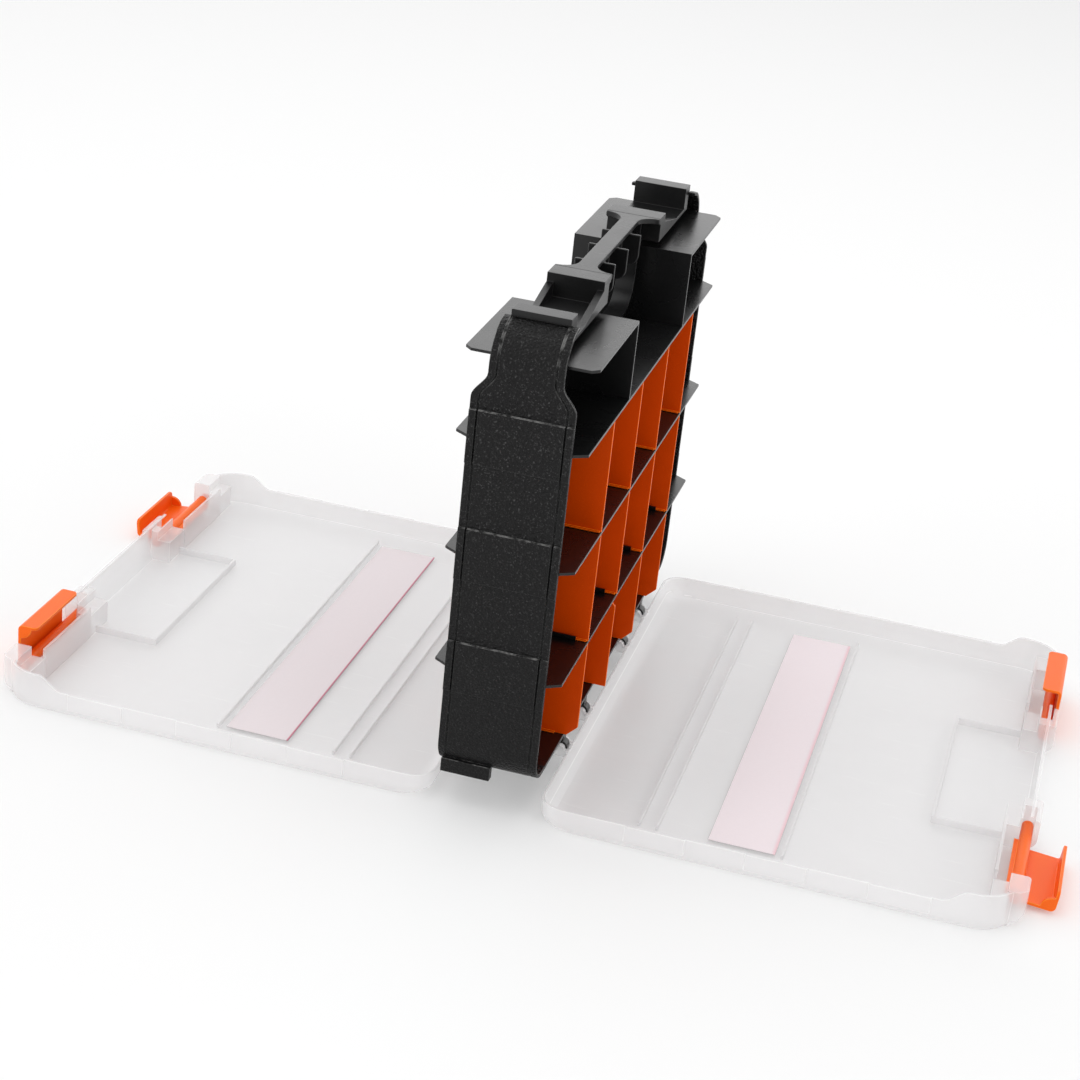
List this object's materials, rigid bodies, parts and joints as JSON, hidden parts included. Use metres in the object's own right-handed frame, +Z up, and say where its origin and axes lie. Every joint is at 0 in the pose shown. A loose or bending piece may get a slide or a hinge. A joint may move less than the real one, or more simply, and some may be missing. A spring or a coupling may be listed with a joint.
{
  "type": "double-sided organizer box",
  "caption": "Two-faced organizer box standing open: black core with shelves, a carrying handle, removable orange dividers, and clear lids hinged at its foot with orange latches.",
  "frame": {"origin": "on the ground under the middle of the box, between the two open lids", "axes": "+Z up along the standing core, +X towards the right-hand lid, +Y along the hinge line to the back"},
  "size_m": [0.6244, 0.3216, 0.284],
  "materials": {
    "core_black": "fine grained black moulding with smoother rims",
    "lid_clear": "frosted clear moulding, slightly milky",
    "label_pale": "thin pale strip",
    "latch_orange": "satin orange moulding",
    "divider_orange": "satin orange moulding"
  },
  "bodies": {
    "core": {"centre_web": "core_black", "shelf_lower": "core_black", "shelf_middle": "core_black", "shelf_upper": "core_black", "side_wall_near": "core_black", "side_wall_far": "core_black", "bottom_wall": "core_black", "ear_near": "core_black", "ear_far": "core_black", "handle_lining": "core_black", "handle_grip": "core_black", "catch_near": "core_black", "catch_far": "core_black", "hinge_hooks_right": "core_black", "hinge_hooks_left": "core_black", "divider_guides": "core_black"},
    "lid_right": {"lid_right": "lid_clear", "lid_ribs_right": "lid_clear", "label_right": "label_pale"},
    "lid_left": {"lid_left": "lid_clear", "lid_ribs_left": "lid_clear", "label_left": "label_pale"},
    "latch_right_near": {"latch_right_near": "latch_orange"},
    "latch_right_far": {"latch_right_far": "latch_orange"},
    "latch_left_near": {"latch_left_near": "latch_orange"},
    "latch_left_far": {"latch_left_far": "latch_orange"},
    "divider_right_11": {"divider_right_11": "divider_orange"},
    "divider_right_12": {"divider_right_12": "divider_orange"},
    "divider_right_13": {"divider_right_13": "divider_orange"},
    "divider_right_14": {"divider_right_14": "divider_orange"},
    "divider_right_21": {"divider_right_21": "divider_orange"},
    "divider_right_22": {"divider_right_22": "divider_orange"},
    "divider_right_23": {"divider_right_23": "divider_orange"},
    "divider_right_24": {"divider_right_24": "divider_orange"},
    "divider_right_31": {"divider_right_31": "divider_orange"},
    "divider_right_32": {"divider_right_32": "divider_orange"},
    "divider_right_33": {"divider_right_33": "divider_orange"},
    "divider_right_34": {"divider_right_34": "divider_orange"},
    "divider_left_11": {"divider_left_11": "divider_orange"},
    "divider_left_12": {"divider_left_12": "divider_orange"},
    "divider_left_13": {"divider_left_13": "divider_orange"},
    "divider_left_14": {"divider_left_14": "divider_orange"},
    "divider_left_21": {"divider_left_21": "divider_orange"},
    "divider_left_22": {"divider_left_22": "divider_orange"},
    "divider_left_23": {"divider_left_23": "divider_orange"},
    "divider_left_24": {"divider_left_24": "divider_orange"},
    "divider_left_31": {"divider_left_31": "divider_orange"},
    "divider_left_32": {"divider_left_32": "divider_orange"},
    "divider_left_33": {"divider_left_33": "divider_orange"},
    "divider_left_34": {"divider_left_34": "divider_orange"}
  },
  "joints": [
    {"name": "lid_right_hinge", "type": "hinge", "parent": "core", "child": "lid_right", "pos_m": [0.0268, 0, 0.0155], "axis": [0, 1, 0], "range_deg": [-90, 0]},
    {"name": "lid_left_hinge", "type": "hinge", "parent": "core", "child": "lid_left", "pos_m": [-0.0268, 0, 0.0155], "axis": [0, -1, 0], "range_deg": [-90, 0]},
    {"name": "latch_right_near_pivot", "type": "hinge", "parent": "lid_right", "child": "latch_right_near", "pos_m": [0.2893, -0.1, 0.0096], "axis": [0, 1, 0], "range_deg": [-95, 0]},
    {"name": "latch_right_far_pivot", "type": "hinge", "parent": "lid_right", "child": "latch_right_far", "pos_m": [0.2893, 0.1, 0.0096], "axis": [0, 1, 0], "range_deg": [0, 95]},
    {"name": "latch_left_near_pivot", "type": "hinge", "parent": "lid_left", "child": "latch_left_near", "pos_m": [-0.2893, -0.1, 0.0096], "axis": [0, -1, 0], "range_deg": [0, 95]},
    {"name": "latch_left_far_pivot", "type": "hinge", "parent": "lid_left", "child": "latch_left_far", "pos_m": [-0.2893, 0.1, 0.0096], "axis": [0, -1, 0], "range_deg": [-95, 0]},
    {"name": "divider_right_11_slide", "type": "slide", "parent": "core", "child": "divider_right_11", "axis": [1, 0, 0], "range_m": [0, 0.04]},
    {"name": "divider_right_12_slide", "type": "slide", "parent": "core", "child": "divider_right_12", "axis": [1, 0, 0], "range_m": [0, 0.04]},
    {"name": "divider_right_13_slide", "type": "slide", "parent": "core", "child": "divider_right_13", "axis": [1, 0, 0], "range_m": [0, 0.04]},
    {"name": "divider_right_14_slide", "type": "slide", "parent": "core", "child": "divider_right_14", "axis": [1, 0, 0], "range_m": [0, 0.04]},
    {"name": "divider_right_21_slide", "type": "slide", "parent": "core", "child": "divider_right_21", "axis": [1, 0, 0], "range_m": [0, 0.04]},
    {"name": "divider_right_22_slide", "type": "slide", "parent": "core", "child": "divider_right_22", "axis": [1, 0, 0], "range_m": [0, 0.04]},
    {"name": "divider_right_23_slide", "type": "slide", "parent": "core", "child": "divider_right_23", "axis": [1, 0, 0], "range_m": [0, 0.04]},
    {"name": "divider_right_24_slide", "type": "slide", "parent": "core", "child": "divider_right_24", "axis": [1, 0, 0], "range_m": [0, 0.04]},
    {"name": "divider_right_31_slide", "type": "slide", "parent": "core", "child": "divider_right_31", "axis": [1, 0, 0], "range_m": [0, 0.04]},
    {"name": "divider_right_32_slide", "type": "slide", "parent": "core", "child": "divider_right_32", "axis": [1, 0, 0], "range_m": [0, 0.04]},
    {"name": "divider_right_33_slide", "type": "slide", "parent": "core", "child": "divider_right_33", "axis": [1, 0, 0], "range_m": [0, 0.04]},
    {"name": "divider_right_34_slide", "type": "slide", "parent": "core", "child": "divider_right_34", "axis": [1, 0, 0], "range_m": [0, 0.04]},
    {"name": "divider_left_11_slide", "type": "slide", "parent": "core", "child": "divider_left_11", "axis": [-1, 0, 0], "range_m": [0, 0.04]},
    {"name": "divider_left_12_slide", "type": "slide", "parent": "core", "child": "divider_left_12", "axis": [-1, 0, 0], "range_m": [0, 0.04]},
    {"name": "divider_left_13_slide", "type": "slide", "parent": "core", "child": "divider_left_13", "axis": [-1, 0, 0], "range_m": [0, 0.04]},
    {"name": "divider_left_14_slide", "type": "slide", "parent": "core", "child": "divider_left_14", "axis": [-1, 0, 0], "range_m": [0, 0.04]},
    {"name": "divider_left_21_slide", "type": "slide", "parent": "core", "child": "divider_left_21", "axis": [-1, 0, 0], "range_m": [0, 0.04]},
    {"name": "divider_left_22_slide", "type": "slide", "parent": "core", "child": "divider_left_22", "axis": [-1, 0, 0], "range_m": [0, 0.04]},
    {"name": "divider_left_23_slide", "type": "slide", "parent": "core", "child": "divider_left_23", "axis": [-1, 0, 0], "range_m": [0, 0.04]},
    {"name": "divider_left_24_slide", "type": "slide", "parent": "core", "child": "divider_left_24", "axis": [-1, 0, 0], "range_m": [0, 0.04]},
    {"name": "divider_left_31_slide", "type": "slide", "parent": "core", "child": "divider_left_31", "axis": [-1, 0, 0], "range_m": [0, 0.04]},
    {"name": "divider_left_32_slide", "type": "slide", "parent": "core", "child": "divider_left_32", "axis": [-1, 0, 0], "range_m": [0, 0.04]},
    {"name": "divider_left_33_slide", "type": "slide", "parent": "core", "child": "divider_left_33", "axis": [-1, 0, 0], "range_m": [0, 0.04]},
    {"name": "divider_left_34_slide", "type": "slide", "parent": "core", "child": "divider_left_34", "axis": [-1, 0, 0], "range_m": [0, 0.04]}
  ]
}
